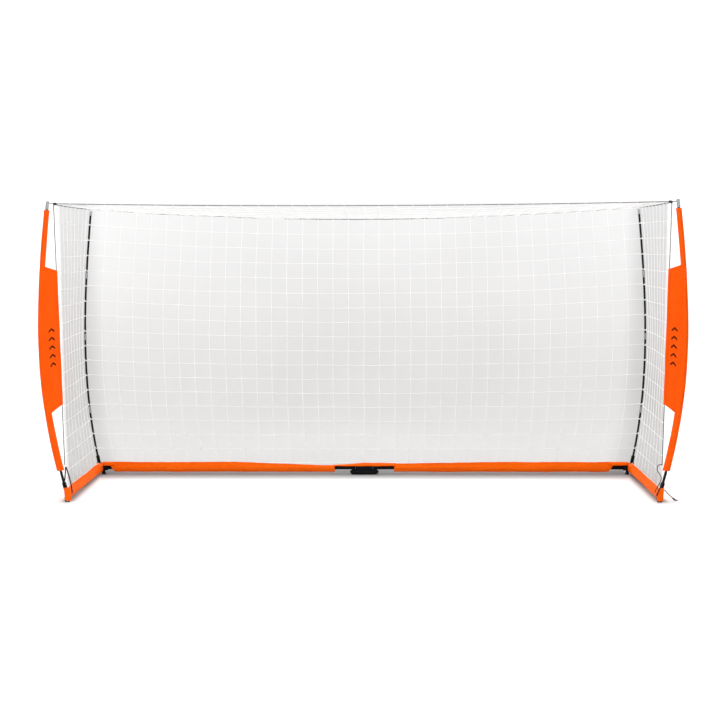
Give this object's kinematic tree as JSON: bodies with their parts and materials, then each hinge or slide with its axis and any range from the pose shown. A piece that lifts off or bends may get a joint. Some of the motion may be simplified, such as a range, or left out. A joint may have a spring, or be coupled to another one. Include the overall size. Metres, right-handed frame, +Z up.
{
  "type": "soccer goal frame",
  "caption": "Portable soccer goal: folding steel base in cloth sleeves, tensioned side bows with wings, rear poles and a cord-hung net.",
  "frame": {"origin": "on the ground at the middle of the goal's footprint", "axes": "+X to the right seen from the mouth, +Y towards the back of the net, +Z up"},
  "size_m": [3.968, 0.972, 1.8516],
  "materials": {
    "steel": "satin black powder coat",
    "fibreglass": "smooth black pultruded rod",
    "ferrule": "plain zinc",
    "cap": "moulded grey",
    "rubber": "matte moulded",
    "orange_cloth": "coated woven nylon",
    "net": "white knotless twine",
    "grey_cord": "braided",
    "black_cord": "braided"
  },
  "bodies": {
    "hub": {"hub_foot": "rubber", "hub_bracket": "steel", "left_hub_bolt": "steel", "right_hub_bolt": "steel", "hub_flap": "orange_cloth", "net_back_center": "net", "net_roof": "net", "front_top_cord": "grey_cord"},
    "left_half": {"left_back_tube": "steel", "left_back_sleeve": "orange_cloth", "left_corner_bracket": "steel", "left_corner_foot": "rubber", "left_arm_pivot_bolt": "steel", "left_rear_pole_1": "fibreglass", "left_rear_pole_2": "fibreglass", "left_rear_pole_3": "fibreglass", "left_rear_pole_4": "fibreglass", "left_rear_ferrule_1": "ferrule", "left_rear_ferrule_2": "ferrule", "left_rear_ferrule_3": "ferrule", "left_rear_pole_cap": "cap", "left_net_back": "net", "left_rear_top_cord": "grey_cord"},
    "left_arm": {"left_arm_tube": "steel", "left_arm_sleeve": "orange_cloth", "left_foot_flap": "orange_cloth", "left_front_foot": "rubber", "left_bow_pole": "fibreglass", "left_bow_cap": "cap", "left_bow_sleeve": "orange_cloth", "left_net_side": "net", "left_net_edge_cord": "grey_cord", "left_corner_bungee": "black_cord"},
    "right_half": {"right_back_tube": "steel", "right_back_sleeve": "orange_cloth", "right_corner_bracket": "steel", "right_corner_foot": "rubber", "right_arm_pivot_bolt": "steel", "right_rear_pole_1": "fibreglass", "right_rear_pole_2": "fibreglass", "right_rear_pole_3": "fibreglass", "right_rear_pole_4": "fibreglass", "right_rear_ferrule_1": "ferrule", "right_rear_ferrule_2": "ferrule", "right_rear_ferrule_3": "ferrule", "right_rear_pole_cap": "cap", "right_net_back": "net", "right_rear_top_cord": "grey_cord"},
    "right_arm": {"right_arm_tube": "steel", "right_arm_sleeve": "orange_cloth", "right_foot_flap": "orange_cloth", "right_front_foot": "rubber", "right_bow_pole": "fibreglass", "right_bow_cap": "cap", "right_bow_sleeve": "orange_cloth", "right_net_side": "net", "right_net_edge_cord": "grey_cord", "right_corner_bungee": "black_cord", "tail_cord": "black_cord", "tail_crimp": "steel"}
  },
  "joints": [
    {"name": "left_base_fold", "type": "hinge", "parent": "hub", "child": "left_half", "pos_m": [-0.075, 0.457, 0.045], "axis": [0, 0, 1], "range_deg": [0, 75], "deforming": ["net_roof", "front_top_cord"]},
    {"name": "left_arm_fold", "type": "hinge", "parent": "left_half", "child": "left_arm", "pos_m": [-1.829, 0.409, 0.045], "axis": [0, 0, 1], "range_deg": [0, 84]},
    {"name": "right_base_fold", "type": "hinge", "parent": "hub", "child": "right_half", "pos_m": [0.075, 0.457, 0.045], "axis": [0, 0, -1], "range_deg": [0, 75], "deforming": ["net_roof", "front_top_cord"]},
    {"name": "right_arm_fold", "type": "hinge", "parent": "right_half", "child": "right_arm", "pos_m": [1.829, 0.409, 0.045], "axis": [0, 0, -1], "range_deg": [0, 84]}
  ],
  "couplings": [
    {"joint": "left_arm_fold", "follows": "left_base_fold", "ratio": 1.12},
    {"joint": "right_arm_fold", "follows": "right_base_fold", "ratio": 1.12}
  ]
}
